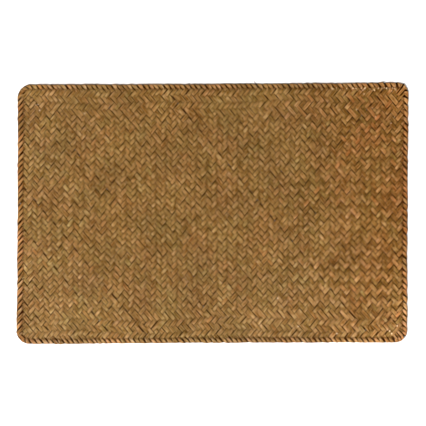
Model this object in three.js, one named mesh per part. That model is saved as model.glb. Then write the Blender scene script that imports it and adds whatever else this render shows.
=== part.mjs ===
// A rush placemat: one flat sheet, plaited on the bias from flattened rush, its strands folded in all round.
// Sizes are in millimetres. +X runs along the mat, +Y across it, +Z up, and the underside lies on z = 0.
import * as THREE from "three";

// The whole mat
const MAT_LENGTH = 450;
const MAT_WIDTH = 299.5;
const GROUND_THICKNESS = 1.9; // in the hollow between two plaited ribs
const RIB_THICKNESS = 2.3; // on top of a rib
const RIM_THICKNESS = 3; // on top of the folded edge

// How the plaiting has pulled the mat out of square
const LEAN = 0.0048; // across for each millimetre along, so that the back right corner is drawn out
const SIDE_BOW = 0.6; // how far the middle of each side is drawn in
const EDGE_WAVE = 0.4; // how far the outline wanders in and out
const EDGE_WAVES = 17; // in once round the mat

// The four sides, counter-clockwise from above, each with the corner that it ends in.
// facing: quarter turns from +X to the way that the side faces
// cornerRadius: of the corner that it ends in, which lies at cornerX, cornerY
// foldPitch: from one fold of the edge to the next
// slant: how far a fold's outer end lies ahead of its inner end, for each millimetre of its depth
const SIDES = [
  { name: "front", facing: -1, cornerX: 1, cornerY: -1, cornerRadius: 14, foldPitch: 5.9, slant: 0.7 },
  { name: "right", facing: 0, cornerX: 1, cornerY: 1, cornerRadius: 12, foldPitch: 7.7, slant: -1.4 },
  { name: "back", facing: 1, cornerX: -1, cornerY: 1, cornerRadius: 16, foldPitch: 5.9, slant: 0.7 },
  { name: "left", facing: 2, cornerX: -1, cornerY: -1, cornerRadius: 16, foldPitch: 7.1, slant: 1.7 },
];
const SLANT_EASE = 25; // the slant turns into the next side's over this length from the corner's middle

// The section of the folded edge, from the underside over the outline to its inner foot, on a fold's crest and
// in the gap between two folds. inset: how far in from the outline. height: above the underside.
const RIM_SECTION = [
  { crest: { inset: 1.2, height: 0 }, gap: { inset: 1.6, height: 0 } }, // underside
  { crest: { inset: 0, height: 1 }, gap: { inset: 0.8, height: 1 } }, // outline
  { crest: { inset: 0.6, height: 2.4 }, gap: { inset: 1.3, height: 1.9 } }, // shoulder
  { crest: { inset: 3, height: RIM_THICKNESS }, gap: { inset: 3, height: 2.2 } }, // crown
  { crest: { inset: 6.6, height: GROUND_THICKNESS }, gap: { inset: 6.6, height: GROUND_THICKNESS } }, // foot
];
const RIM_DEPTH = 6.6;
const UNEVEN_FOLD = 0.35; // how far a fold strays from that section

// The ribs. In the field they run across the mat, and in a band along the front and back they run along it.
const RIB_PITCH = 5.9;
const BAND_RIB_PITCH = 6.9;
const RIB_SHOULDER = 0.16; // of the pitch, for each sloping side of a rib
const RIB_END_SLOPE = 1.4;
const RIB_SWAY = 0.7; // the ribs wander this far from straight
const SWAY_LENGTH = 130;
const UNEVEN_RIB = 0.3; // how far a rib's place and end stray from an even layout
const FIELD_MARGIN = 1.2; // flat ground between the folded edge and the field's first rib
const FIELD_STATIONS = 6; // along each rib of the field
const BAND_STATIONS = 13;
const BAND_RIBS = 4;
const BAND_DEPTH = 39; // from the outline to the field
const BAND_END_DEPTH = 14; // the band is this shallow at its ends, where its corners are mitred
const MITRE_LENGTH = 48;
const BAND_CLEARANCE = 1; // flat ground between the band and the ends of the field's ribs
const BAND_END_GROUND = 14; // flat ground at each end of a band, in the rounded corner

const HALF_LENGTH = MAT_LENGTH / 2;
const HALF_WIDTH = MAT_WIDTH / 2;
const LEAST_EXCESS = 1e-6; // opposite angles that pass half a turn by less leave their diagonal as it is

const points = [];
const triangles = [];

// From -1 to 1, and different from one fold, rib or end to the next, as in work that is plaited by hand.
const uneven = (index) => Math.sin(2.4 * index + 1);

// The mat's place for a point of the straight, square layout.
function settled(x, y) {
  const along = x / HALF_LENGTH;
  const across = y / HALF_WIDTH;
  const drawnX = x - SIDE_BOW * along * (1 - across ** 2);
  const drawnY = y - SIDE_BOW * across * (1 - along ** 2);
  return new THREE.Vector2(drawnX + LEAN * drawnY, drawnY + LEAN * drawnX);
}

function addPoint(x, y, height) {
  const place = settled(x, y);
  return points.push(new THREE.Vector3(place.x, place.y, height)) - 1;
}

// Two rows of points, joined by a strip that faces up where the second row lies to the left of the first.
function addStrip(first, second, closed) {
  const steps = closed ? first.length : first.length - 1;
  for (let k = 0; k < steps; k++) {
    const next = (k + 1) % first.length;
    triangles.push([first[k], first[next], second[next]], [first[k], second[next], second[k]]);
  }
}

// The angle of a flat triangle at one of its corners.
function angleAt(corner, left, right) {
  const toLeft = points[left].clone().sub(points[corner]);
  return toLeft.angleTo(points[right].clone().sub(points[corner]));
}

// Swaps the diagonal of two neighbouring triangles wherever that makes both less thin, until no swap is left.
function swapDiagonals(faces) {
  for (let swapped = true; swapped; ) {
    swapped = false;
    const owners = new Map();
    faces.forEach((face, index) => {
      face.forEach((from, k) => owners.set(`${from} ${face[(k + 1) % 3]}`, index));
    });
    const moved = new Set();
    for (const [edge, index] of owners) {
      const [from, to] = edge.split(" ").map(Number);
      const across = owners.get(`${to} ${from}`);
      if (across === undefined || moved.has(index) || moved.has(across)) continue;
      const near = faces[index].find((corner) => corner !== from && corner !== to);
      const far = faces[across].find((corner) => corner !== from && corner !== to);
      const excess = angleAt(near, from, to) + angleAt(far, from, to) - Math.PI;
      if (excess < LEAST_EXCESS) continue;
      faces[index] = [near, from, far];
      faces[across] = [far, to, near];
      moved.add(index).add(across);
      swapped = true;
    }
  }
}

// A flat face inside a contour of points and round holes, which faces up or down.
function addFlatFace(contour, holes, facesDown) {
  const flat = (loop) => loop.map((index) => new THREE.Vector2(points[index].x, points[index].y));
  const loops = [contour, ...holes].flat();
  const faces = THREE.ShapeUtils.triangulateShape(flat(contour), holes.map(flat)).map((corners) => {
    const face = corners.map((corner) => loops[corner]);
    return THREE.ShapeUtils.isClockWise(flat(face)) ? face.reverse() : face;
  });
  swapDiagonals(faces);
  for (const face of faces) triangles.push(facesDown ? face.reverse() : face);
}

function arcCentre({ cornerX, cornerY, cornerRadius }) {
  return [cornerX * (HALF_LENGTH - cornerRadius), cornerY * (HALF_WIDTH - cornerRadius)];
}

// One side of the outline, from the middle of the corner before it to the middle of its own.
function sidePath(side, before) {
  const facing = (side.facing * Math.PI) / 2;
  return new THREE.Path()
    .absarc(...arcCentre(before), before.cornerRadius, facing - Math.PI / 4, facing)
    .absarc(...arcCentre(side), side.cornerRadius, facing, facing + Math.PI / 4);
}

// A side's slant at a distance along it, eased into those of the sides before and after it.
function slantAt(distance, length, side, before, after) {
  const ofBefore = 1 - THREE.MathUtils.smoothstep(distance, -SLANT_EASE, SLANT_EASE);
  const ofAfter = 1 - THREE.MathUtils.smoothstep(length - distance, -SLANT_EASE, SLANT_EASE);
  return side.slant + ofBefore * (before.slant - side.slant) + ofAfter * (after.slant - side.slant);
}

// The outline, and a station on the crest of each fold and in each gap, at its distance along the outline.
function layOutEdge() {
  const outline = new THREE.CurvePath();
  const stations = [];
  let start = 0;
  SIDES.forEach((side, index) => {
    const before = SIDES[(index + SIDES.length - 1) % SIDES.length];
    const after = SIDES[(index + 1) % SIDES.length];
    const path = sidePath(side, before);
    path.curves.forEach((curve) => outline.add(curve));
    const length = path.getLength();
    const steps = 2 * Math.round(length / side.foldPitch);
    for (let k = 0; k < steps; k++) {
      const distance = (length * k) / steps;
      const slant = slantAt(distance, length, side, before, after);
      stations.push({ distance: start + distance, slant, part: k % 2 ? "gap" : "crest" });
    }
    start += length;
  });
  return { outline, stations };
}

// The folded edge, as rings of points round the whole mat. The first and the last of them come back.
function addRim() {
  const { outline, stations } = layOutEdge();
  const total = outline.getLength();
  const rings = RIM_SECTION.map((row) =>
    stations.map((station, k) => {
      const { inset, height } = row[station.part];
      const along = THREE.MathUtils.euclideanModulo((station.distance - station.slant * inset) / total, 1);
      const on = outline.getPoint(along);
      const ahead = outline.getTangent(along);
      const wave = EDGE_WAVE * Math.sin(2 * Math.PI * EDGE_WAVES * along);
      const inwards = inset + wave + UNEVEN_FOLD * uneven(k);
      return addPoint(on.x - ahead.y * inwards, on.y + ahead.x * inwards, height);
    }),
  );
  for (let k = 1; k < rings.length; k++) addStrip(rings[k - 1], rings[k], true);
  return { underside: rings[0], foot: rings[rings.length - 1] };
}

// The lines along a patch of ribs, each at its place across them: a hollow, then each rib's two shoulders and
// the hollow after it.
function ribLines(start, count, pitch) {
  const hollow = (rib) => start + rib * pitch + UNEVEN_RIB * uneven(rib);
  const lines = [{ at: hollow(0), height: GROUND_THICKNESS }];
  for (let rib = 0; rib < count; rib++) {
    const between = (share) => THREE.MathUtils.lerp(hollow(rib), hollow(rib + 1), share);
    lines.push({ at: between(RIB_SHOULDER), height: RIB_THICKNESS });
    lines.push({ at: between(1 - RIB_SHOULDER), height: RIB_THICKNESS });
    lines.push({ at: between(1), height: GROUND_THICKNESS });
  }
  return lines;
}

// A row of points along one of those lines, with a short slope down to the ground at each end.
function addRibLine(low, high, count, height, placeAt) {
  const top = Array.from({ length: count }, (_, k) =>
    THREE.MathUtils.lerp(low + RIB_END_SLOPE, high - RIB_END_SLOPE, k / (count - 1)),
  );
  return [
    addPoint(...placeAt(low), GROUND_THICKNESS),
    ...top.map((along) => addPoint(...placeAt(along), height)),
    addPoint(...placeAt(high), GROUND_THICKNESS),
  ];
}

// A patch of ribs, from one row of points for each line. The loop round it comes back.
function addPatch(rows) {
  for (let k = 1; k < rows.length; k++) addStrip(rows[k], rows[k - 1], false);
  const first = rows[0];
  const last = rows[rows.length - 1];
  const starts = rows.map((row) => row[0]);
  const ends = rows.map((row) => row[row.length - 1]);
  return [...starts, ...last.slice(1), ...ends.slice(0, -1).reverse(), ...first.slice(1, -1).reverse()];
}

const sway = (along, phase) => RIB_SWAY * Math.sin((2 * Math.PI * along) / SWAY_LENGTH + phase);

// How deep a band lies at a place along the mat, and where along the mat it has reached a depth.
function bandDepth(x) {
  const share = THREE.MathUtils.clamp((HALF_LENGTH - Math.abs(x)) / MITRE_LENGTH, 0, 1);
  return THREE.MathUtils.lerp(BAND_END_DEPTH, BAND_DEPTH, share);
}
function mitreAt(depth) {
  return HALF_LENGTH - MITRE_LENGTH * THREE.MathUtils.inverseLerp(BAND_END_DEPTH, BAND_DEPTH, depth);
}

// The field's ribs, which run from the front band to the back band.
function addField() {
  const room = MAT_LENGTH - 2 * (RIM_DEPTH + FIELD_MARGIN);
  const count = Math.floor(room / RIB_PITCH);
  const lines = ribLines((-count * RIB_PITCH) / 2, count, RIB_PITCH);
  const rows = lines.map(({ at, height }, line) => {
    const reach = HALF_WIDTH - bandDepth(at) - BAND_CLEARANCE;
    const front = -reach - UNEVEN_RIB * uneven(line);
    const back = reach + UNEVEN_RIB * uneven(2 * line);
    return addRibLine(front, back, FIELD_STATIONS, height, (y) => [at + sway(y, 0), y]);
  });
  return addPatch(rows);
}

// A band's ribs, along the back (side 1), or turned half round along the front (side -1).
function addBand(side) {
  const start = BAND_DEPTH - BAND_CLEARANCE - BAND_RIBS * BAND_RIB_PITCH;
  const rows = ribLines(start, BAND_RIBS, BAND_RIB_PITCH).map(({ at, height }, line) => {
    const reach = Math.min(mitreAt(at + BAND_CLEARANCE), HALF_LENGTH - BAND_END_GROUND) - BAND_CLEARANCE;
    const placeAt = (x) => [side * x, side * (HALF_WIDTH - at + sway(x, side) / 2)];
    const left = -reach - UNEVEN_RIB * uneven(2 * line);
    return addRibLine(left, reach + UNEVEN_RIB * uneven(line), BAND_STATIONS, height, placeAt);
  });
  return addPatch(rows);
}

// The whole sheet as one closed mesh, with the middle of its box over the origin.
function plaitedSheet() {
  const rim = addRim();
  addFlatFace(rim.foot, [addField(), addBand(-1), addBand(1)], false);
  addFlatFace(rim.underside, [], true);
  const geometry = new THREE.BufferGeometry().setFromPoints(points).setIndex(triangles.flat());
  geometry.computeBoundingBox();
  const middle = geometry.boundingBox.getCenter(new THREE.Vector3());
  geometry.translate(-middle.x, -middle.y, 0);
  geometry.computeVertexNormals();
  return geometry;
}

const rush = new THREE.MeshStandardMaterial({ color: 0x8c6739, roughness: 0.7, metalness: 0 });
const mat = new THREE.Mesh(plaitedSheet(), rush);
mat.name = "plaited_mat";

const placemat = new THREE.Group();
placemat.add(mat);

export default placemat;
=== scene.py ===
"""The looks of a rush placemat, plaited on the bias from flattened rush with its strands folded in all round.

Everything is in metres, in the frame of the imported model: +X along the mat, +Y across it towards its back
edge, +Z up, with the underside on z = 0. The strands follow one plait, laid out straight and square, and
then settle as hand work does, so that the sides lean a little and are drawn in between the corners.
"""

import logging
import math
from dataclasses import dataclass, field
from enum import Enum

import bmesh
import bpy
import numpy as np
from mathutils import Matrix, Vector


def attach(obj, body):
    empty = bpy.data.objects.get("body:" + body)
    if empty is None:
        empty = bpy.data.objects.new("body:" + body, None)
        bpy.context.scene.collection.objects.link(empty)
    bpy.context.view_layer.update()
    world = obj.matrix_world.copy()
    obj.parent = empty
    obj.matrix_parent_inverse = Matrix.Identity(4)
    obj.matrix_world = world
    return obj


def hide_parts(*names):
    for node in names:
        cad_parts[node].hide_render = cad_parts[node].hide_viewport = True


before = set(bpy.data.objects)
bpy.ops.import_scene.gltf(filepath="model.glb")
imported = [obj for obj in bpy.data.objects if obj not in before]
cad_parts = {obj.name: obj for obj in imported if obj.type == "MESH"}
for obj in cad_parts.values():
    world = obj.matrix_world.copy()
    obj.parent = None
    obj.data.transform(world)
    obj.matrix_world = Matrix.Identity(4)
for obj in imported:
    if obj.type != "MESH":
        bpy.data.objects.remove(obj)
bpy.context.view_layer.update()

log = logging.getLogger("placemat")

MM = 0.001
NODE = "plaited_mat"
BODY = "root"
TONE_LIMIT = 2.1
USUAL_HUE = 0.5
Value = bpy.types.NodeSocket | float | tuple[float, ...]


class Family(Enum):
    """The two ways that a strand runs, seen from above with +X to the right."""

    RISING = 1
    FALLING = -1


@dataclass(frozen=True)
class Side:
    """One side of the mat, with the corner that it ends in, going counter-clockwise from above.

    facing counts the quarter turns from +X to the way that the side faces. Strands of its family are folded
    over it, and slant says how far a fold's outer end lies ahead of its inner end for each metre of depth.
    Its folds' roundness, tan and depth are shares of the usual ones, shade is how much shade is painted on
    their outer turn, most at the back, away from the key light, and none on the left, and paler is how much
    lighter they are.
    """

    name: str
    facing: int
    corner_x: int
    corner_y: int
    corner_radius: float
    family: Family
    slant: float
    roundness: float
    tan: float
    depth: float
    shade: float
    paler: float


SIDES = (
    Side("front", -1, 1, -1, 14 * MM, Family.FALLING, 0.75, 0.85, 0.7, 1.05, 0.15, 1.35),
    Side("right", 0, 1, 1, 12 * MM, Family.FALLING, -1.0, 0.9, 0.85, 0.95, 0.15, 2.65),
    Side("back", 1, -1, 1, 16 * MM, Family.FALLING, 0.75, 0.85, 0.75, 1.05, 0.3, 1.6),
    Side("left", 2, -1, -1, 16 * MM, Family.RISING, 1.15, 1.15, 0.95, 1.3, 0.0, 0.6),
)


class Wander:
    """A smooth, seeded random number that changes along a strand or over the mat, about -1 to 1."""

    def __init__(self, rng: np.random.RandomState, shortest: float, longest: float, waves: int = 4) -> None:
        """Draws the waves that are added up.

        Args:
            rng: where the random numbers come from.
            shortest: the shortest wavelength in metres.
            longest: the longest wavelength in metres.
            waves: how many waves there are.
        """
        self.rates = 2 * math.pi / rng.uniform(shortest, longest, waves)
        self.phases = rng.uniform(0, 2 * math.pi, waves)
        self.share = math.sqrt(2 / waves) * 0.7

    def at(self, distance: np.ndarray) -> np.ndarray:
        """The number at each distance.

        Args:
            distance: distances in metres.

        Returns:
            One number for each distance.
        """
        turns = np.multiply.outer(np.asarray(distance), self.rates) + self.phases
        return self.share * np.sin(turns).sum(axis=-1)


@dataclass(frozen=True)
class Unevenness:
    """How much something strays along a strand, and the shortest and longest waves that it strays in."""

    amount: float
    shortest: float
    longest: float

    def along(self, rng: np.random.RandomState, distance: np.ndarray) -> np.ndarray:
        """Draws how one strand strays, at distances along it."""
        return self.amount * Wander(rng, self.shortest, self.longest).at(distance)


@dataclass
class Outline:
    """The mat's edge: an oblong with round corners, and how it has settled out of square."""

    length: float = 450 * MM
    width: float = 299.5 * MM
    lean: float = 0.0048
    bow: float = 0.6 * MM
    wave: float = 0.15 * MM
    waves: int = 17
    step: float = 0.25 * MM
    total: float = field(init=False)
    middle: tuple[float, float] = field(default=(0.0, 0.0), init=False)

    def __post_init__(self) -> None:
        """Walks once round the edge, counter-clockwise from the middle of the front left corner."""
        places: list[tuple[float, float, float]] = []
        self.side_ends: list[float] = []
        self.straights: list[tuple[float, float]] = []
        distance = 0.0
        for index, side in enumerate(SIDES):
            before = SIDES[index - 1]
            turn = side.facing * math.pi / 2
            start = self.corner_centre(before)
            end = self.corner_centre(side)
            facing = Vector((math.cos(turn), math.sin(turn)))
            first = start + before.corner_radius * facing
            last = end + side.corner_radius * facing
            arc = math.pi / 4
            places += self.arc_places(start, before.corner_radius, turn - arc, turn)
            distance += arc * before.corner_radius
            straight = (last - first).length
            self.straights.append((distance, distance + straight))
            steps = round(straight / self.step)
            places += [(*first.lerp(last, k / steps), turn) for k in range(steps)]
            distance += straight + arc * side.corner_radius
            places += self.arc_places(end, side.corner_radius, turn, turn + arc)
            self.side_ends.append(distance)
        self.total = distance
        self.table = np.array(places + [(*places[0][:2], places[0][2] + 2 * math.pi)])
        leaps = np.hypot(*np.diff(self.table[:, :2], axis=0).T)
        self.distances = np.concatenate(([0.0], np.cumsum(leaps)))
        self.distances *= self.total / self.distances[-1]
        x, y = self.settled(*self.points(self.distances, np.zeros(len(self.table))))
        self.middle = ((x.min() + x.max()) / 2, (y.min() + y.max()) / 2)

    def corner_centre(self, side: Side) -> Vector:
        """The middle of the arc of a side's corner."""
        inset = side.corner_radius
        return Vector((side.corner_x * (self.length / 2 - inset), side.corner_y * (self.width / 2 - inset)))

    def arc_places(
        self, centre: Vector, radius: float, start: float, end: float
    ) -> list[tuple[float, float, float]]:
        """Places on an arc, without its last one.

        Args:
            centre: the arc's middle.
            radius: its radius.
            start: the angle that it starts at, in radians.
            end: the angle that it ends at.

        Returns:
            The x and y of each place, and the angle that the edge faces there.
        """
        steps = round((end - start) * radius / self.step)
        angles = [start + (end - start) * k / steps for k in range(steps)]
        return [(centre.x + radius * math.cos(a), centre.y + radius * math.sin(a), a) for a in angles]

    def points(self, distance: np.ndarray, inset: np.ndarray) -> tuple[np.ndarray, np.ndarray]:
        """Points of the straight layout, by their distance round the edge and how far in they lie.

        Args:
            distance: distances along the edge, past its end too.
            inset: how far inwards from the edge, in metres.

        Returns:
            Their x and y.
        """
        along = np.mod(distance, self.total)
        facing = np.interp(along, self.distances, self.table[:, 2])
        deep = inset + self.wave * np.sin(2 * math.pi * self.waves * along / self.total)
        x = np.interp(along, self.distances, self.table[:, 0]) - deep * np.cos(facing)
        y = np.interp(along, self.distances, self.table[:, 1]) - deep * np.sin(facing)
        return x, y

    def inset(self, x: np.ndarray, y: np.ndarray) -> np.ndarray:
        """How far in from the edge points of the straight layout lie.

        Args:
            x: their places along the mat.
            y: their places across it.

        Returns:
            Their distances from the edge, below 0 outside it.
        """
        radius = np.zeros(np.shape(x))
        for side in SIDES:
            here = (x * side.corner_x >= 0) & (y * side.corner_y >= 0)
            radius = np.where(here, side.corner_radius, radius)
        past_x = np.abs(x) - self.length / 2 + radius
        past_y = np.abs(y) - self.width / 2 + radius
        outside = np.hypot(np.maximum(past_x, 0), np.maximum(past_y, 0))
        return radius - outside - np.minimum(np.maximum(past_x, past_y), 0)

    def nearest(self, x: float, y: float) -> float:
        """The distance along the edge of the place nearest to a point."""
        gaps = np.hypot(self.table[:, 0] - x, self.table[:, 1] - y)
        return float(self.distances[int(gaps.argmin())])

    def settled(self, x: np.ndarray, y: np.ndarray) -> tuple[np.ndarray, np.ndarray]:
        """Where points of the straight, square layout have come to lie, with the mat's middle at the origin.

        Args:
            x: their places along the straight layout.
            y: their places across it.

        Returns:
            Their x and y on the mat.
        """
        along = x / (self.length / 2)
        across = y / (self.width / 2)
        drawn_x = x - self.bow * along * (1 - across**2)
        drawn_y = y - self.bow * across * (1 - along**2)
        middle_x, middle_y = self.middle
        return drawn_x + self.lean * drawn_y - middle_x, drawn_y + self.lean * drawn_x - middle_y


@dataclass
class Plait:
    """The lattice of crossings. Rising strand i and falling strand j cross in column i + j and row j - i.

    In the field the floats stand in columns, so that zigzags run along the mat. In a band along the front and
    back they lie in rows, and the bands are mitred towards the corners. At a few crossings the wrong strand
    has slipped on top. A strand strays from its even place by a share of a strand, and the whole lattice
    sways.
    """

    outline: Outline
    columns: int = 74
    rows: int = 40
    foot: float = 6.9 * MM
    band_rows: int = 4
    mitre_rows: float = 1.0
    mitre_length: float = 46 * MM
    slip_share: float = 0.012
    band_slip_share: float = 0.03
    coarse_slip_share: float = 0.006
    coarse_from: float = 150 * MM
    stray: float = 0.1
    drift: float = 0.3
    drift_waves: tuple[float, float, int] = (90 * MM, 220 * MM, 3)
    sway: float = 0.6 * MM
    sway_waves: tuple[float, float, int] = (70 * MM, 190 * MM, 3)
    spare_strands: int = 8
    seed: int = 7

    def __post_init__(self) -> None:
        """Works out the spacing and draws how each strand strays from it."""
        rng = np.random.RandomState(self.seed)
        self.column_step = (self.outline.length - 2 * self.foot) / (2 * self.columns)
        self.row_step = (self.outline.width - 2 * self.foot) / (2 * self.rows)
        self.crossing_step = math.hypot(self.column_step, self.row_step)
        self.pitch = 2 * self.column_step * self.row_step / self.crossing_step
        reach = self.columns + self.rows + self.spare_strands
        self.first = -reach
        count = 3 * reach
        self.strays = {}
        for family in Family:
            index = np.arange(count) * self.pitch
            drift = Wander(rng, *self.drift_waves).at(index)
            self.strays[family] = self.stray * rng.normal(0, 1, count).clip(-2, 2) + self.drift * drift
        self.sways = [Wander(rng, *self.sway_waves) for _ in range(4)]
        self.slips = rng.uniform(0, 1, (count, count))

    def stray_of(self, family: Family, index: np.ndarray) -> np.ndarray:
        """How far strands lie from their even places, in strands, also between two whole numbers."""
        table = self.strays[family]
        return np.interp(np.asarray(index, dtype=float) - self.first, np.arange(len(table)), table)

    def place(self, rising: np.ndarray, falling: np.ndarray) -> tuple[np.ndarray, np.ndarray]:
        """Where strands cross, on the straight layout.

        Args:
            rising: the rising strand's number, which may lie between two strands.
            falling: the falling strand's number.

        Returns:
            Their x and y.
        """
        i = rising + self.stray_of(Family.RISING, rising)
        j = falling + self.stray_of(Family.FALLING, falling)
        x = -self.outline.length / 2 + self.foot + (i + j + 0.5) * self.column_step
        y = -self.outline.width / 2 + self.foot + (j - i + 0.5) * self.row_step
        first, second, third, fourth = self.sways
        return (
            x + self.sway * (first.at(y) + second.at(x + y)) / 2,
            y + self.sway * (third.at(x) + fourth.at(x - y)) / 2,
        )

    def rising_is_over(self, i: int, j: int) -> bool:
        """Whether the rising strand lies on top where it crosses a falling one.

        Args:
            i: the rising strand's number.
            j: the falling strand's number.

        Returns:
            True where the rising strand is on top.
        """
        column = i + j
        row = j - i
        from_edge = min(row, 2 * self.rows - 1 - row)
        from_end = min(column, 2 * self.columns - 1 - column) * self.column_step
        ease = min(max(from_end / self.mitre_length, 0.0), 1.0)
        deep = 2 * (self.mitre_rows + (self.band_rows - self.mitre_rows) * ease)
        in_band = from_edge < round(deep)
        # Over two and under two repeats at every fourth row or column of crossings.
        over = from_edge % 4 in (0, 1) if in_band else column % 4 in (2, 3)
        x = -self.outline.length / 2 + self.foot + column * self.column_step
        share = self.slip_share
        if in_band:
            share = self.band_slip_share
        if x > self.coarse_from:
            share = self.coarse_slip_share
        inside = from_edge > 1 and from_end > 2 * self.column_step
        if inside and self.slips[i - self.first, j - self.first] < share:
            return not over
        return over


@dataclass
class Strand:
    """One strand's run across the mat, from the crossing where it starts to the one where it ends."""

    number: int
    start: float
    end: float


class RibbonBatch:
    """Many ribbons with as many sides each, gathered into one joined mesh.

    A ribbon is a row of rings, and a ring runs clockwise seen along the ribbon.
    """

    def __init__(self, shares: np.ndarray) -> None:
        """Starts an empty batch.

        Args:
            shares: how far across the ribbon each point of a ring lies, from 0 to 1.
        """
        self.shares = shares
        self.points: list[np.ndarray] = []
        self.normals: list[np.ndarray] = []
        self.faces: list[tuple[int, ...]] = []
        self.wraps: list[np.ndarray] = []
        self.values: dict[str, list[np.ndarray]] = {"tone": [], "hue": [], "painted_shade": [], "seed": []}
        self.count = 0

    def add(
        self,
        rings: np.ndarray,
        along: np.ndarray,
        values: dict[str, np.ndarray],
        normals: np.ndarray | None = None,
    ) -> None:
        """Adds one ribbon.

        Args:
            rings: the points of each ring, (rings, sides, 3).
            along: how far along the ribbon each ring lies.
            values: the material's numbers at each ring, by attribute name.
            normals: which way the surface faces at each point, where the batch sets that.
        """
        count, sides = rings.shape[:2]
        above_table = np.maximum(rings, (-np.inf, -np.inf, 0.0))
        self.points.append(above_table.reshape(-1, 3))
        if normals is not None:
            self.normals.append(normals.reshape(-1, 3))
        base = self.count
        for k in range(count - 1):
            low = base + k * sides
            for m in range(sides):
                n = (m + 1) % sides
                self.faces.append((low + m, low + n, low + sides + n, low + sides + m))
        self.faces.append(tuple(base + m for m in reversed(range(sides))))
        top = base + (count - 1) * sides
        self.faces.append(tuple(top + m for m in range(sides)))
        share = np.repeat(self.shares[None, :], count, axis=0)
        far = np.repeat(along[:, None], sides, axis=1)
        self.wraps.append(np.stack([share, far], axis=-1).reshape(-1, 2))
        for name, stack in self.values.items():
            stack.append(np.repeat(values[name], sides))
        self.count += count * sides

    def add_level(
        self,
        section: np.ndarray,
        centre: np.ndarray,
        forward: np.ndarray,
        half: np.ndarray,
        rise: np.ndarray,
        along: np.ndarray,
        values: dict[str, float],
    ) -> None:
        """Adds a straight ribbon that lies level, with the same numbers all along.

        Args:
            section: its section, as across and up.
            centre: the middle of each ring.
            forward: the way that it runs.
            half: half of its width at each ring.
            rise: half of its thickness at each ring.
            along: how far along it each ring lies.
            values: the material's numbers by attribute name.
        """
        left = np.array([-forward[1], forward[0], 0.0])
        rings = centre[:, None, :] + left * (half[:, None] * section[:, 0])[:, :, None]
        rings[:, :, 2] += rise[:, None] * section[:, 1]
        self.add(rings, along, {name: np.full(len(along), value) for name, value in values.items()})

    def to_object(self, name: str) -> bpy.types.Object:
        """Makes the joined mesh and its object.

        Args:
            name: the piece's name.

        Returns:
            The new object, linked to the scene.
        """
        points = np.concatenate(self.points)
        mesh = bpy.data.meshes.new(name)
        mesh.from_pydata(points.tolist(), [], self.faces)
        corners = np.empty(len(mesh.loops), dtype=np.int32)
        mesh.loops.foreach_get("vertex_index", corners)
        wraps = np.concatenate(self.wraps)
        layer = mesh.uv_layers.new(name="UVMap")
        layer.data.foreach_set("uv", wraps[corners].astype(np.float32).ravel())
        for label, stack in self.values.items():
            attribute = mesh.attributes.new(label, "FLOAT", "POINT")
            attribute.data.foreach_set("value", np.concatenate(stack).astype(np.float32))
        mesh.shade_smooth()
        mesh.update()
        if self.normals:
            mesh.normals_split_custom_set_from_vertices(np.concatenate(self.normals).tolist())
        piece = bpy.data.objects.new(name, mesh)
        bpy.context.scene.collection.objects.link(piece)
        return piece


def unit(vectors: np.ndarray) -> np.ndarray:
    """Vectors of length 1, along the last axis."""
    return vectors / np.linalg.norm(vectors, axis=-1, keepdims=True)


def smoothstep(low: float, high: float, value: np.ndarray) -> np.ndarray:
    """From 0 at low to 1 at high, smoothly."""
    share = np.clip((np.asarray(value) - low) / (high - low), 0, 1)
    return share * share * (3 - 2 * share)


def held(tone: np.ndarray) -> np.ndarray:
    """Tones with the few darkest and palest drawn in, so that no float is lost among the others."""
    return TONE_LIMIT * np.tanh(tone / TONE_LIMIT)


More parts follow.
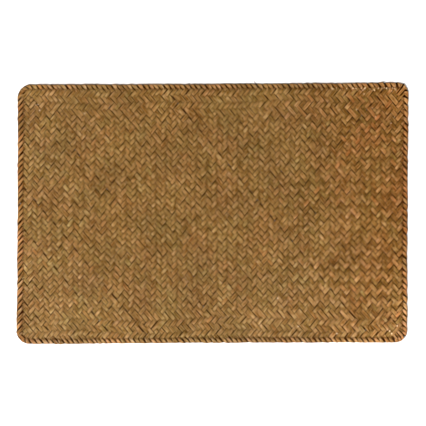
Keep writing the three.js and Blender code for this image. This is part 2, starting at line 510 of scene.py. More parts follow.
@dataclass
class PlaitedStrands:
    """The strands of one family, from edge to edge, each over two and under two of the other family.

    Towards the right every other strand is wider, paler and redder than the ones beside it, so that light and
    dark zigzags take turns there, which the numbers named turns give. Those named coarse make the strands'
    shades differ more there. A height is 1 where a strand is on top and -1 where it is below.
    """

    plait: Plait
    family: Family
    seed: int
    # How much paler the whole family is painted; for the rising strands it is painted sheen from the key
    # light.
    paler: float = 0.0
    middle_height: float = 1.15 * MM
    lift: float = 0.6 * MM
    thickness: float = 0.98 * MM
    thickness_spread: tuple[float, float] = (0.88, 1.08)
    fill: float = 1.13
    width_spread: tuple[float, float] = (0.97, 1.03)
    shoulder: float = 0.8
    roundness: float = 0.07
    crown: float = 0.07 * MM
    waist: float = 0.02
    end_inset: float = 2.4 * MM
    squeeze_inset: float = 8.5 * MM
    squeeze: float = 0.6
    step: float = 0.05
    fewest_steps: int = 20
    spare_strands: int = 4
    dive: tuple[float, ...] = (0.2, 0.4, 0.6, 0.8)
    dive_span: tuple[float, float] = (0.14, 0.86)
    closest_rings: float = 0.02
    narrowing: Unevenness = Unevenness(0.025, 12 * MM, 50 * MM)
    shift: Unevenness = Unevenness(0.1 * MM, 15 * MM, 60 * MM)
    long_twist: Unevenness = Unevenness(math.radians(2.2), 30 * MM, 90 * MM)
    short_twist: Unevenness = Unevenness(math.radians(2.6), 9 * MM, 18 * MM)
    rise: Unevenness = Unevenness(0.05 * MM, 10 * MM, 40 * MM)
    tone_spread: float = 0.42
    long_tone: Unevenness = Unevenness(0.42, 20 * MM, 80 * MM)
    short_tone: Unevenness = Unevenness(0.7, 8 * MM, 18 * MM)
    coarse_tone: float = 1.1
    coarse_tone_span: tuple[float, float] = (90 * MM, 170 * MM)
    stain_spread: float = 0.11
    stain: Unevenness = Unevenness(0.1, 20 * MM, 90 * MM)
    coarse_stain: float = 0.2
    coarse_stain_span: tuple[float, float] = (110 * MM, 190 * MM)
    gap_shade: float = 0.85
    gap_span: tuple[float, float] = (0.35, -0.9)
    rim_shade_span: tuple[float, float] = (7.3 * MM, 3.9 * MM)
    turns_span: tuple[float, float] = (-30 * MM, 175 * MM)
    turns_length: float = 100 * MM
    turns_ripple: float = 0.3
    turns_width: float = 0.07
    turns_rise: float = 0.06 * MM
    turns_tone: float = 1.1
    turns_hue: float = 0.13

    def section(self) -> np.ndarray:
        """A flattened stem, as across and up: flat above and below, with thin edges."""
        s = self.shoulder
        return np.array([(1, 0), (s, 1), (-s, 1), (-1, 0), (-s, -1), (s, -1)], dtype=float)

    def facing(self) -> np.ndarray:
        """Which way each point of the section faces, so that the flat sides are shaded as slightly round."""
        r = self.roundness
        return unit(np.array([(1, 0.6), (r, 1), (-r, 1), (-1, 0.6), (-r, -1), (r, -1)], dtype=float))

    def place(self, number: float, crossing: np.ndarray) -> tuple[np.ndarray, np.ndarray]:
        """Points of a strand on the straight layout.

        Args:
            number: the strand's number.
            crossing: the number of the crossing strand that it has come to, at each point.

        Returns:
            Their x and y.
        """
        own = np.full(np.shape(crossing), float(number))
        if self.family is Family.RISING:
            return self.plait.place(own, crossing)
        return self.plait.place(crossing, own)

    def runs(self) -> list[Strand]:
        """Every strand that is long enough to be plaited in.

        Returns:
            The strands, from edge to edge.
        """
        reach = self.plait.columns + self.plait.rows + self.spare_strands
        found = []
        steps = np.arange(-reach, 2 * reach, self.step)
        for number in range(-reach, 2 * reach):
            inset = self.plait.outline.inset(*self.place(number, steps))
            inside = np.nonzero(inset > self.end_inset)[0]
            if len(inside) >= self.fewest_steps:
                found.append(Strand(number, float(steps[inside[0]]), float(steps[inside[-1]])))
        return found

    def height_at(self, number: int, crossing: int) -> float:
        """Whether a strand is the upper or the lower one at a crossing.

        Args:
            number: the strand's number.
            crossing: the number of the strand that it crosses.

        Returns:
            1 for the upper one and -1 for the lower one.
        """
        if self.family is Family.RISING:
            return 1.0 if self.plait.rising_is_over(number, crossing) else -1.0
        return -1.0 if self.plait.rising_is_over(crossing, number) else 1.0

    def stations(self, run: Strand) -> tuple[np.ndarray, np.ndarray, np.ndarray]:
        """Where a strand's rings lie.

        Args:
            run: the strand.

        Returns:
            The crossing number of each ring, its height from -1 below to 1 above, and how close it is to the
            middle of a float, from 0 to 1.
        """
        rows = [(run.start, self.height_at(run.number, round(run.start)), 0.0)]
        for crossing in range(math.floor(run.start), math.ceil(run.end)):
            here = self.height_at(run.number, crossing)
            there = self.height_at(run.number, crossing + 1)
            if here == there:
                rows.append((crossing + 0.5, here, 1.0))
                continue
            for share in self.dive:
                ease = float(smoothstep(*self.dive_span, share))
                rows.append((crossing + share, here + (there - here) * ease, 0.0))
        rows.append((run.end, rows[-1][1], 0.0))
        table = np.array(rows)
        table = table[(table[:, 0] >= run.start) & (table[:, 0] <= run.end)]
        table = table[np.argsort(table[:, 0], kind="stable")]
        gaps = np.diff(table[:, 0], prepend=table[0, 0] - 1)
        table = table[gaps > self.closest_rings]
        return table[:, 0], table[:, 1], table[:, 2]

    def turn_taking(self, number: int, x: np.ndarray, y: np.ndarray) -> np.ndarray:
        """How much a strand stands out from its neighbours.

        Args:
            number: the strand's number.
            x: the places of its rings along the mat.
            y: the places of its rings across the mat.

        Returns:
            From -1 for a dark, narrow strand to 1 for a pale, wide one, at each ring.
        """
        sign = 1 if number % 2 == 0 else -1
        patchy = 1 - self.turns_ripple + self.turns_ripple * np.sin(2 * math.pi * y / self.turns_length)
        return sign * patchy * smoothstep(*self.turns_span, x)

    def room_of(self, number: int) -> float:
        """The width between a strand's neighbours that is its own.

        Args:
            number: the strand's number.

        Returns:
            The width in metres.
        """
        low = number - 1 + self.plait.stray_of(self.family, number - 1)
        high = number + 1 + self.plait.stray_of(self.family, number + 1)
        return float(self.plait.pitch * (high - low) / 2)

    def colouring(
        self,
        rng: np.random.RandomState,
        along: np.ndarray,
        x: np.ndarray,
        painted_shade: np.ndarray,
        stands_out: np.ndarray,
    ) -> dict[str, np.ndarray]:
        """Draws the material's numbers for one strand.

        Args:
            rng: where the random numbers come from.
            along: how far along the strand each ring lies.
            x: the places of its rings along the mat.
            painted_shade: how deep in the gaps or the edge each ring lies.
            stands_out: how much it stands out from its neighbours.

        Returns:
            The numbers at each ring, by attribute name.
        """
        tone = self.tone_spread * rng.normal() + self.long_tone.along(rng, along)
        tone = tone + self.short_tone.along(rng, along)
        tone = tone * (1 + self.coarse_tone * smoothstep(*self.coarse_tone_span, x)) + self.paler
        stain = self.stain_spread * rng.normal() + self.stain.along(rng, along)
        hue = USUAL_HUE + stain * (1 + self.coarse_stain * smoothstep(*self.coarse_stain_span, x))
        return {
            "tone": held(tone + self.turns_tone * stands_out),
            "hue": hue + self.turns_hue * stands_out,
            "painted_shade": painted_shade,
            "seed": np.full(len(along), rng.uniform(0, 1)),
        }

    def build(self) -> bpy.types.Object:
        """Sweeps every strand and joins them.

        Returns:
            The new piece.
        """
        rng = np.random.RandomState(self.seed)
        section = self.section()
        facing = self.facing()
        batch = RibbonBatch((section[:, 0] + 1) / 2)
        outline = self.plait.outline
        for run in self.runs():
            at, height, middle = self.stations(run)
            inset = outline.inset(*self.place(run.number, at))
            x, y = outline.settled(*self.place(run.number, at))
            before_x, before_y = outline.settled(*self.place(run.number, at - self.step))
            after_x, after_y = outline.settled(*self.place(run.number, at + self.step))
            heading = unit(np.stack([after_x - before_x, after_y - before_y], axis=-1))
            left = np.stack([-heading[:, 1], heading[:, 0]], axis=-1)
            along = np.concatenate(([0.0], np.cumsum(np.hypot(np.diff(x), np.diff(y)))))
            stands_out = self.turn_taking(run.number, x, y)

            width = self.fill * self.room_of(run.number) * rng.uniform(*self.width_spread)
            thick = self.thickness * rng.uniform(*self.thickness_spread)
            narrow = 1 - self.waist * (1 - middle) + self.narrowing.along(rng, along)
            half_width = width / 2 * (narrow + self.turns_width * stands_out)
            shift = self.shift.along(rng, along)
            twist = self.long_twist.along(rng, along)
            twist = twist + self.short_twist.along(rng, along)
            rise = self.rise.along(rng, along) + self.turns_rise * stands_out

            freed = smoothstep(self.end_inset, self.squeeze_inset, inset)
            pressed = self.squeeze + (1 - self.squeeze) * freed
            z = self.middle_height + pressed * (self.lift * height + self.crown * middle * height) + rise
            flat = np.stack([x + left[:, 0] * shift, y + left[:, 1] * shift, z], axis=-1)
            slope = np.gradient(z, along)
            forward = unit(np.stack([heading[:, 0], heading[:, 1], slope], axis=-1))
            side = np.stack([left[:, 0], left[:, 1], np.zeros(len(left))], axis=-1)
            up = np.cross(forward, side)
            across = side * np.cos(twist)[:, None] + up * np.sin(twist)[:, None]
            up = np.cross(forward, across)

            rings = flat[:, None, :] + across[:, None, :] * (half_width[:, None] * section[:, 0])[:, :, None]
            rings = rings + up[:, None, :] * ((thick / 2 * pressed)[:, None] * section[:, 1])[:, :, None]
            normals = across[:, None, :] * facing[:, 0][:, None] + up[:, None, :] * facing[:, 1][:, None]
            # Painted shade where the strand dives under its neighbours, darkest where it lies lowest.
            under = self.gap_shade * smoothstep(*self.gap_span, height)
            # More painted shade towards the edge, where the strands pass under the folded edge.
            painted_shade = np.maximum(under, smoothstep(*self.rim_shade_span, inset))
            values = self.colouring(rng, along, x, painted_shade, stands_out)
            batch.add(rings, along + rng.uniform(0, 1), values, normals)
        return batch.to_object(f"{self.family.name.lower()}_strands")


@dataclass
class FoldedEdge:
    """The edge, where each strand turns over the outline and is tucked back under the plaiting."""

    plait: Plait
    seed: int = 31
    thickness: float = 0.72 * MM
    smooth_steps: int = 3
    side_ease: float = 25 * MM
    corner_room: float = 2 * MM
    corner_step: float = 6.6 * MM
    depth_span: tuple[float, float] = (1 * MM, 5 * MM)
    nudge: float = 0.14 * MM
    bend: float = 0.05
    roundness_spread: tuple[float, float] = (0.88, 1.12)
    width_spread: tuple[float, float] = (0.97, 1.06)
    taper: float = 0.45
    taper_by_tan: float = 0.7
    deeper: float = 0.12 * MM
    wobble: Unevenness = Unevenness(0.06 * MM, 2 * MM, 8 * MM)
    tilt: float = 0.09
    tone_spread: float = 0.65
    tone: Unevenness = Unevenness(0.4, 5 * MM, 16 * MM)
    tan_spread: float = 0.1

    # How much shade is painted on a fold where it's tucked in above, where it turns over the outline and
    # where it lies below, with the insets or heights in millimetres between which each comes on.
    tucked: float = 0.3
    tucked_by_tan: float = 0.6
    tucked_span: tuple[float, float] = (4.0, 6.2)
    turned_span: tuple[float, float] = (1.7, 0.4)
    below: float = 0.5
    below_span: tuple[float, float] = (0.9, 0.3)

    # From the tip tucked in above, over the outline, to the tip tucked in below. Each row holds the inset and
    # height of the fold's middle line in millimetres, and its width and thickness as shares of the whole.
    path = (
        (7.9, 1.1, 0.4, 0.5),
        (6.6, 1.55, 0.54, 0.8),
        (5.0, 2.2, 0.74, 1.0),
        (3.0, 2.5, 0.9, 1.05),
        (1.3, 2.3, 1.02, 1.0),
        (0.45, 1.7, 1.06, 0.9),
        (0.4, 1.05, 1.08, 0.85),
        (1.1, 0.5, 1.08, 0.8),
        (3.0, 0.37, 1.08, 0.8),
        (5.4, 0.4, 0.85, 0.8),
        (7.4, 0.85, 0.55, 0.5),
    )

    def section(self) -> np.ndarray:
        """A strand's section, rounder above than below."""
        top = [(1, 0), (0.86, 0.6), (0.5, 1), (0, 1.1), (-0.5, 1), (-0.86, 0.6), (-1, 0)]
        return np.array(top + [(-0.6, -0.8), (0.6, -0.8)], dtype=float)

    def anchors(self) -> list[float]:
        """Where the folds lie, as distances along the outline at the depth of the foot.

        On the straight parts of a side they continue its strands. The corners are filled evenly.

        Returns:
            The distances, going counter-clockwise.
        """
        outline = self.plait.outline
        ends: dict[Family, list[float]] = {family: [] for family in Family}
        for family in Family:
            layer = PlaitedStrands(self.plait, family, 0, end_inset=self.plait.foot)
            for run in layer.runs():
                for crossing in (run.start, run.end):
                    x, y = layer.place(run.number, np.array([crossing]))
                    ends[family].append(outline.nearest(float(x[0]), float(y[0])))
        kept: list[float] = []
        room = self.corner_room
        for side, (start, end) in zip(SIDES, outline.straights):
            kept += sorted(d for d in ends[side.family] if start + room < d < end - room)
        filled = []
        for here, there in zip(kept, kept[1:] + [kept[0] + outline.total]):
            parts = round((there - here) / self.corner_step)
            filled += [here] + [here + (there - here) * k / parts for k in range(1, parts)]
        return filled

    def blended(self, distance: float, name: str) -> float:
        """One of a side's numbers, eased into its neighbours' at the corners.

        Args:
            distance: the distance round the edge.
            name: which of the side's numbers.

        Returns:
            The number there.
        """
        outline = self.plait.outline
        at = distance % outline.total
        index = next(k for k, end in enumerate(outline.side_ends) if at <= end)
        side = SIDES[index]
        before = SIDES[index - 1]
        after = SIDES[(index + 1) % len(SIDES)]
        start = outline.side_ends[index - 1] if index else 0.0
        own = getattr(side, name)
        ease = self.side_ease
        of_before = 1 - float(smoothstep(-ease, ease, at - start))
        of_after = 1 - float(smoothstep(-ease, ease, outline.side_ends[index] - at))
        return own + of_before * (getattr(before, name) - own) + of_after * (getattr(after, name) - own)

    def build(self) -> bpy.types.Object:
        """Wraps every fold round the edge and joins them.

        Returns:
            The new piece.
        """
        rng = np.random.RandomState(self.seed)
        outline = self.plait.outline
        section = self.section()
        batch = RibbonBatch((section[:, 0] + 1) / 2)
        anchors = self.anchors()
        rows = self.smooth_rows()
        for k, here in enumerate(anchors):
            side_tan = self.blended(here, "tan")
            depth = rows[:, 0] * MM
            depth = depth * (1 + (self.blended(here, "depth") - 1) * smoothstep(*self.depth_span, depth))
            turned = np.argmin(depth)
            walk = np.where(np.arange(len(depth)) <= turned, -depth, depth)
            path = np.stack([depth, rows[:, 1] * MM], axis=-1)
            forward = unit(np.gradient(path, axis=0))
            out = np.stack([-forward[:, 1], forward[:, 0]], axis=-1)
            along = np.concatenate(([0.0], np.cumsum(np.linalg.norm(np.diff(path, axis=0), axis=1))))
            before = anchors[k - 1] if k else anchors[-1] - outline.total
            after = anchors[k + 1] if k + 1 < len(anchors) else anchors[0] + outline.total
            nudge = rng.normal(0, self.nudge)
            bend = rng.normal(0, self.bend)
            roundness = self.blended(here, "roundness") * rng.uniform(*self.roundness_spread)
            reach = self.plait.foot + walk
            low = (before + here) / 2 + self.blended((before + here) / 2, "slant") * reach
            high = (here + after) / 2 + self.blended((here + after) / 2, "slant") * reach
            middle = (low + high) / 2 + nudge + bend * reach
            taper = 1 - (1 - rows[:, 2]) * (self.taper + self.taper_by_tan * side_tan)
            half = (high - low) / 2 * taper * rng.uniform(*self.width_spread)
            deeper = rng.normal(0, self.deeper)
            wobble = self.wobble.along(rng, along)
            tilt = rng.normal(0, self.tilt)
            thick = self.thickness / 2 * rows[:, 3] * roundness

            aside = middle[:, None] - half[:, None] * section[:, 0]
            lift = thick[:, None] * section[:, 1] + half[:, None] * section[:, 0] * tilt
            inset = depth[:, None] + deeper + out[:, None, 0] * lift
            height = path[:, None, 1] + wobble[:, None] + out[:, None, 1] * lift
            x, y = outline.settled(*outline.points(aside, inset))
            rings = np.stack([x, y, height], axis=-1)

            tone = held(self.tone_spread * rng.normal() + self.tone.along(rng, along))
            tan = side_tan + rng.normal(0, self.tan_spread)
            # Painted shade where the fold is tucked in, on its outer turn and below it.
            tucked = (self.tucked + self.tucked_by_tan * side_tan) * smoothstep(*self.tucked_span, rows[:, 0])
            turned_over = self.blended(here, "shade") * smoothstep(*self.turned_span, rows[:, 0])
            below = self.below * smoothstep(*self.below_span, rows[:, 1])
            values = {
                "tone": tone + self.blended(here, "paler"),
                "hue": np.full(len(depth), tan),
                "painted_shade": np.maximum(tucked, np.maximum(below, turned_over)),
                "seed": np.full(len(depth), rng.uniform(0, 1)),
            }
            batch.add(rings, along + rng.uniform(0, 1), values)
        return batch.to_object("folded_edge")

    def smooth_rows(self) -> np.ndarray:
        """The path's rows with more between them, on a smooth curve through all of them.

        Returns:
            One row for each ring of a fold.
        """
        rows = np.array(self.path)
        padded = np.vstack([2 * rows[0] - rows[1], rows, 2 * rows[-1] - rows[-2]])
        result = []
        for k in range(1, len(padded) - 2):
            p0, p1, p2, p3 = padded[k - 1 : k + 3]
            for step in range(self.smooth_steps - 1):
                t = step / (self.smooth_steps - 1)
                cubic = 3 * p1 - p0 - 3 * p2 + p3
                square = 2 * p0 - 5 * p1 + 4 * p2 - p3
                result.append(0.5 * (2 * p1 + (p2 - p0) * t + square * t**2 + cubic * t**3))
        result.append(rows[-1])
        return np.array(result)


@dataclass(frozen=True)
class CornerStrand:
    """A strand that lies on top at a corner, by its middle and its heading in degrees from +X."""

    x: float
    y: float
    heading: float
    length: float
    width: float
    tone: float
    hue: float


@dataclass
class CornerStrands:
    """The loose strands on top of the four corners, each over a dark sheet painting shade at both sides."""

    outline: Outline
    seed: int = 41
    rings: int = 13
    thickness: float = 0.5 * MM
    shoulder: float = 0.8
    top_height: float = 2.75 * MM
    end_drop: float = 1.1 * MM
    end_taper: float = 0.12
    dark_spread: float = 1.5
    dark_drop: float = 0.22 * MM
    dark_tone: float = -1.0
    dark_shade: float = 0.95

    strands = (
        CornerStrand(216.8 * MM, 139.6 * MM, 48, 13.0 * MM, 4.0 * MM, 1.9, 0.9),
        CornerStrand(-219.6 * MM, 140.2 * MM, 43, 10.0 * MM, 3.0 * MM, -0.7, 1.0),
        CornerStrand(-219.2 * MM, -141.0 * MM, -42, 10.0 * MM, 3.2 * MM, 0.0, 1.0),
        CornerStrand(216.6 * MM, -139.6 * MM, -47, 9.5 * MM, 3.4 * MM, 1.5, 0.6),
        CornerStrand(211.0 * MM, -143.4 * MM, -50, 7.5 * MM, 3.0 * MM, 1.0, 0.6),
    )

    def add_layer(
        self,
        batch: RibbonBatch,
        strand: CornerStrand,
        spread: float,
        drop: float,
        values: dict[str, float],
    ) -> None:
        """Adds a strand, or the dark sheet of painted shade under it.

        Args:
            batch: the batch that takes it.
            strand: the strand.
            spread: its width as a share of the strand's own.
            drop: how much lower it lies.
            values: the material's numbers by attribute name.
        """
        s = self.shoulder
        section = np.array([(1, 0), (s, 1), (-s, 1), (-1, 0), (-s, -1), (s, -1)], dtype=float)
        shares = np.linspace(-1, 1, self.rings)
        turn = math.radians(strand.heading)
        forward = np.array([math.cos(turn), math.sin(turn), 0.0])
        x, y = self.outline.settled(strand.x, strand.y)
        centre = np.array([x, y, self.top_height - drop]) + forward * (strand.length / 2 * shares)[:, None]
        centre[:, 2] -= self.end_drop * shares**4
        half = strand.width / 2 * spread * (1 - self.end_taper * shares**4)
        rise = np.full(len(shares), self.thickness / 2)
        batch.add_level(section, centre, forward, half, rise, strand.length / 2 * (shares + 1), values)

    def build(self) -> bpy.types.Object:
        """Lays every strand and the dark sheet of painted shade under it, and joins them.

        Returns:
            The new piece.
        """
        rng = np.random.RandomState(self.seed)
        outer = (1 + self.shoulder) / 2
        batch = RibbonBatch(np.array([1.0, outer, 1 - outer, 0.0, 1 - outer, outer]))
        for strand in self.strands:
            # The dark sheet under each strand is painted shade, for the shaded slits at its sides.
            dark = {
                "tone": self.dark_tone,
                "hue": USUAL_HUE,
                "painted_shade": self.dark_shade,
                "seed": rng.uniform(0, 1),
            }
            self.add_layer(batch, strand, self.dark_spread, self.dark_drop, dark)
            own = {"tone": strand.tone, "hue": strand.hue, "painted_shade": 0.0, "seed": rng.uniform(0, 1)}
            self.add_layer(batch, strand, 1.0, 0.0, own)
        return batch.to_object("corner_strands")


@dataclass(frozen=True)
class FrayedPatch:
    """A patch of the mat where pale pith has frayed out between the strands, in tufts of a few fibres."""

    x: float
    y: float
    spread_x: float
    spread_y: float
    tufts: int
    fibres: int = 3


@dataclass(frozen=True)
class LooseEnd:
    """A strand's end, or a torn fibre, that sticks out past the folded edge."""

    x: float
    side: int
    turn: float
    length: float
    width: float


@dataclass
class FrayedBits:
    """The small pale flecks of frayed pith and the few ends that stick out of the edge."""

    outline: Outline
    seed: int = 51
    rings: int = 5
    bow: float = 0.12
    taper: float = 0.7
    flatness: float = 0.6
    surface_height: float = 2.3 * MM
    fleck_length: float = 0.9 * MM
    fleck_width: float = 0.5 * MM
    length_spread: tuple[float, float] = (0.6, 1.2)
    turn_spread: float = 0.5
    scatter: float = 0.18 * MM
    end_depth: float = 1.2 * MM
    end_height: float = 1.2 * MM
    end_tone: float = -1.0
    end_darkness: float = 0.75

    shares = np.array([1.0, 0.5, 0.0, 0.5])
    patches = (
        FrayedPatch(168 * MM, 143.5 * MM, 38 * MM, 0.9 * MM, 19),
        FrayedPatch(205 * MM, 142 * MM, 7 * MM, 2.5 * MM, 5),
        FrayedPatch(183 * MM, 139.5 * MM, 14 * MM, 3.5 * MM, 6),
        FrayedPatch(176 * MM, 118 * MM, 16 * MM, 8 * MM, 3),
        FrayedPatch(206 * MM, 108 * MM, 6 * MM, 5 * MM, 2),
        FrayedPatch(-204 * MM, 126 * MM, 4 * MM, 3 * MM, 2, 2),
        FrayedPatch(-199 * MM, 118.3 * MM, 0.3 * MM, 0.3 * MM, 1, 6),
        FrayedPatch(-144 * MM, 117 * MM, 4 * MM, 2 * MM, 1),
        FrayedPatch(211.9 * MM, -129.2 * MM, 0.3 * MM, 0.3 * MM, 1, 7),
        FrayedPatch(203.9 * MM, -135.0 * MM, 0.3 * MM, 0.3 * MM, 1, 5),
        FrayedPatch(206.2 * MM, -138.4 * MM, 0.3 * MM, 0.3 * MM, 1, 6),
        FrayedPatch(98.0 * MM, -130.4 * MM, 0.3 * MM, 0.3 * MM, 1, 7),
        FrayedPatch(74.9 * MM, -98.1 * MM, 0.3 * MM, 0.3 * MM, 1, 5),
        FrayedPatch(142.9 * MM, -138.4 * MM, 0.3 * MM, 0.3 * MM, 1, 6),
        FrayedPatch(219.4 * MM, 140.9 * MM, 0.8 * MM, 0.6 * MM, 2, 3),
    )
    loose_ends = (
        LooseEnd(49.3 * MM, 1, 0.5, 4.6 * MM, 1.0 * MM),
        LooseEnd(-28.6 * MM, 1, -0.6, 1.6 * MM, 1.4 * MM),
        LooseEnd(-127.7 * MM, -1, 0.7, 1.6 * MM, 1.5 * MM),
        LooseEnd(111.4 * MM, -1, 0.6, 1.3 * MM, 1.3 * MM),
        LooseEnd(134.5 * MM, -1, 0.7, 1.4 * MM, 1.6 * MM),
        LooseEnd(144.9 * MM, -1, 0.6, 1.3 * MM, 1.2 * MM),
    )

    def add_fibre(
        self,
        batch: RibbonBatch,
        start: Vector,
        heading: float,
        length: float,
        width: float,
        values: dict[str, float],
    ) -> None:
        """Adds one short, tapered fibre that bows upwards.

        Args:
            batch: the batch that takes it.
            start: where it comes out.
            heading: its direction in radians, seen from above.
            length: its length.
            width: its width at the root.
            values: the material's numbers by attribute name.
        """
        section = np.array([(1, 0), (0, 1), (-1, 0), (0, -1)], dtype=float)
        shares = np.linspace(0, 1, self.rings)
        forward = np.array([math.cos(heading), math.sin(heading), 0.0])
        centre = np.array(start) + forward * (length * shares)[:, None]
        centre[:, 2] += self.bow * length * np.sin(math.pi * shares)
        half = width / 2 * (1 - self.taper * shares)
        batch.add_level(section, centre, forward, half, self.flatness * half, length * shares, values)

    def build_flecks(self) -> bpy.types.Object:
        """The flecks of pith, as tufts of a few fibres each.

        Returns:
            The new piece.
        """
        rng = np.random.RandomState(self.seed)
        batch = RibbonBatch(self.shares)
        for patch in self.patches:
            for _ in range(patch.tufts):
                x = patch.x + rng.uniform(-1, 1) * patch.spread_x
                y = patch.y + rng.uniform(-1, 1) * patch.spread_y
                heading = rng.uniform(0, 2 * math.pi)
                for _ in range(rng.randint(patch.fibres - 1, patch.fibres + 2)):
                    start = Vector((x, y, self.surface_height)) + Vector(rng.normal(0, self.scatter, 3))
                    length = self.fleck_length * rng.uniform(*self.length_spread)
                    values = {"tone": rng.normal(), "hue": USUAL_HUE, "painted_shade": 0.0, "seed": rng.uniform(0, 1)}
                    turned = heading + rng.normal(0, self.turn_spread)
                    self.add_fibre(batch, start, turned, length, self.fleck_width, values)
        return batch.to_object("frayed_pith")

    def build_loose_ends(self) -> bpy.types.Object:
        """The ends that stick out past the edge.

        Returns:
            The new piece.
        """
        rng = np.random.RandomState(self.seed + 1)
        batch = RibbonBatch(self.shares)
        depth = self.end_depth
        for end in self.loose_ends:
            x, y = self.outline.settled(end.x, end.side * (self.outline.width / 2 - depth))
            start = Vector((x, y, self.end_height))
            heading = end.side * math.pi / 2 + end.side * end.turn
            # Loose ends are darkened towards the same dark brown as the painted shade.
            values = {
                "tone": self.end_tone,
                "hue": USUAL_HUE,
                "painted_shade": self.end_darkness,
                "seed": rng.uniform(0, 1),
            }
            self.add_fibre(batch, start, heading, end.length + depth, end.width, values)
        return batch.to_object("loose_ends")


def linear(red: int, green: int, blue: int) -> tuple[float, float, float, float]:
    """A colour for a node.

    Args:
        red: its usual red, from 0 to 255.
        green: its usual green.
        blue: its usual blue.

    Returns:
        Its linear red, green and blue, and an alpha of 1.
    """
    shares = [value / 255 for value in (red, green, blue)]
    lit = [share / 12.92 if share <= 0.04045 else ((share + 0.055) / 1.055) ** 2.4 for share in shares]
    return lit[0], lit[1], lit[2], 1.0


class NodeSheet:
    """Adds nodes to one tree and joins them. A value is a number, a colour or another node's socket."""

    def __init__(self, tree: bpy.types.NodeTree) -> None:
        """Keeps the tree."""
        self.tree = tree

    def fill(self, socket: bpy.types.NodeSocket, value: Value) -> None:
        """Sets a socket, or links it where the value is a socket.

        Args:
            socket: the socket.
            value: what goes into it.
        """
        if isinstance(value, bpy.types.NodeSocket):
            self.tree.links.new(value, socket)
        else:
            socket.default_value = value

    def add(self, kind: str, **settings: object) -> bpy.types.Node:
        """Adds a node.

        Args:
            kind: the node's type.
            **settings: the settings that differ from its own.

        Returns:
            The new node.
        """
        node = self.tree.nodes.new(kind)
        for name, value in settings.items():
            setattr(node, name, value)
        return node

    def math(self, operation: str, *values: Value, clamp: bool = False) -> bpy.types.NodeSocket:
        """Adds a math node.

        Args:
            operation: what it works out.
            *values: what it works with.
            clamp: whether its result is held from 0 to 1.

        Returns:
            Its result.
        """
        node = self.add("ShaderNodeMath", operation=operation, use_clamp=clamp)
        for socket, value in zip(node.inputs, values):
            self.fill(socket, value)
        return node.outputs[0]

    def span(
        self, value: Value, span: tuple[float, float], result: tuple[float, float]
    ) -> bpy.types.NodeSocket:
        """Takes a value smoothly from one span to another, held at its ends.

        Args:
            value: the value.
            span: the two ends of the values that matter.
            result: what they become.

        Returns:
            The new value.
        """
        node = self.add("ShaderNodeMapRange", interpolation_type="SMOOTHSTEP")
        for name, part in zip(("Value", "From Min", "From Max", "To Min", "To Max"), (value, *span, *result)):
            self.fill(node.inputs[name], part)
        return node.outputs[0]

    def mix(self, share: Value, first: Value, second: Value, blend: str = "MIX") -> bpy.types.NodeSocket:
        """Mixes two colours.

        Args:
            share: the second colour's share.
            first: the first colour.
            second: the second colour.
            blend: how they mix.

        Returns:
            The mixed colour.
        """
        node = self.add("ShaderNodeMix", data_type="RGBA", blend_type=blend)
        self.fill(node.inputs[0], share)
        self.fill(node.inputs[6], first)
        self.fill(node.inputs[7], second)
        return node.outputs[2]

    def tint(self, share: Value, colour: Value, by: Value) -> bpy.types.NodeSocket:
        """A colour, multiplied by another where the share is 1."""
        return self.mix(share, colour, self.mix(1.0, colour, by, "MULTIPLY"))

    def vector(self, x: Value, y: Value, z: Value) -> bpy.types.NodeSocket:
        """Joins three values to a vector.

        Args:
            x: the first value.
            y: the second value.
            z: the third value.

        Returns:
            The vector.
        """
        node = self.add("ShaderNodeCombineXYZ")
        for socket, value in zip(node.inputs, (x, y, z)):
            self.fill(socket, value)
        return node.outputs[0]

    def noise(
        self, place: Value, scale: float, detail: float, roughness: float = 0.5
    ) -> bpy.types.NodeSocket:
        """Adds noise.

        Args:
            place: where it is read.
            scale: how fine it is.
            detail: how many finer layers it has.
            roughness: how strong the finer layers are.

        Returns:
            The noise, from 0 to 1.
        """
        node = self.add("ShaderNodeTexNoise", noise_dimensions="3D")
        for name, value in zip(("Vector", "Scale", "Detail", "Roughness"), (place, scale, detail, roughness)):
            self.fill(node.inputs[name], value)
        return node.outputs["Fac"]


@dataclass(frozen=True)
class Crease:
    """A split along a strand: its own place in the noise, and the middle and the spread of its wandering."""

    offset: float
    middle: float
    spread: float


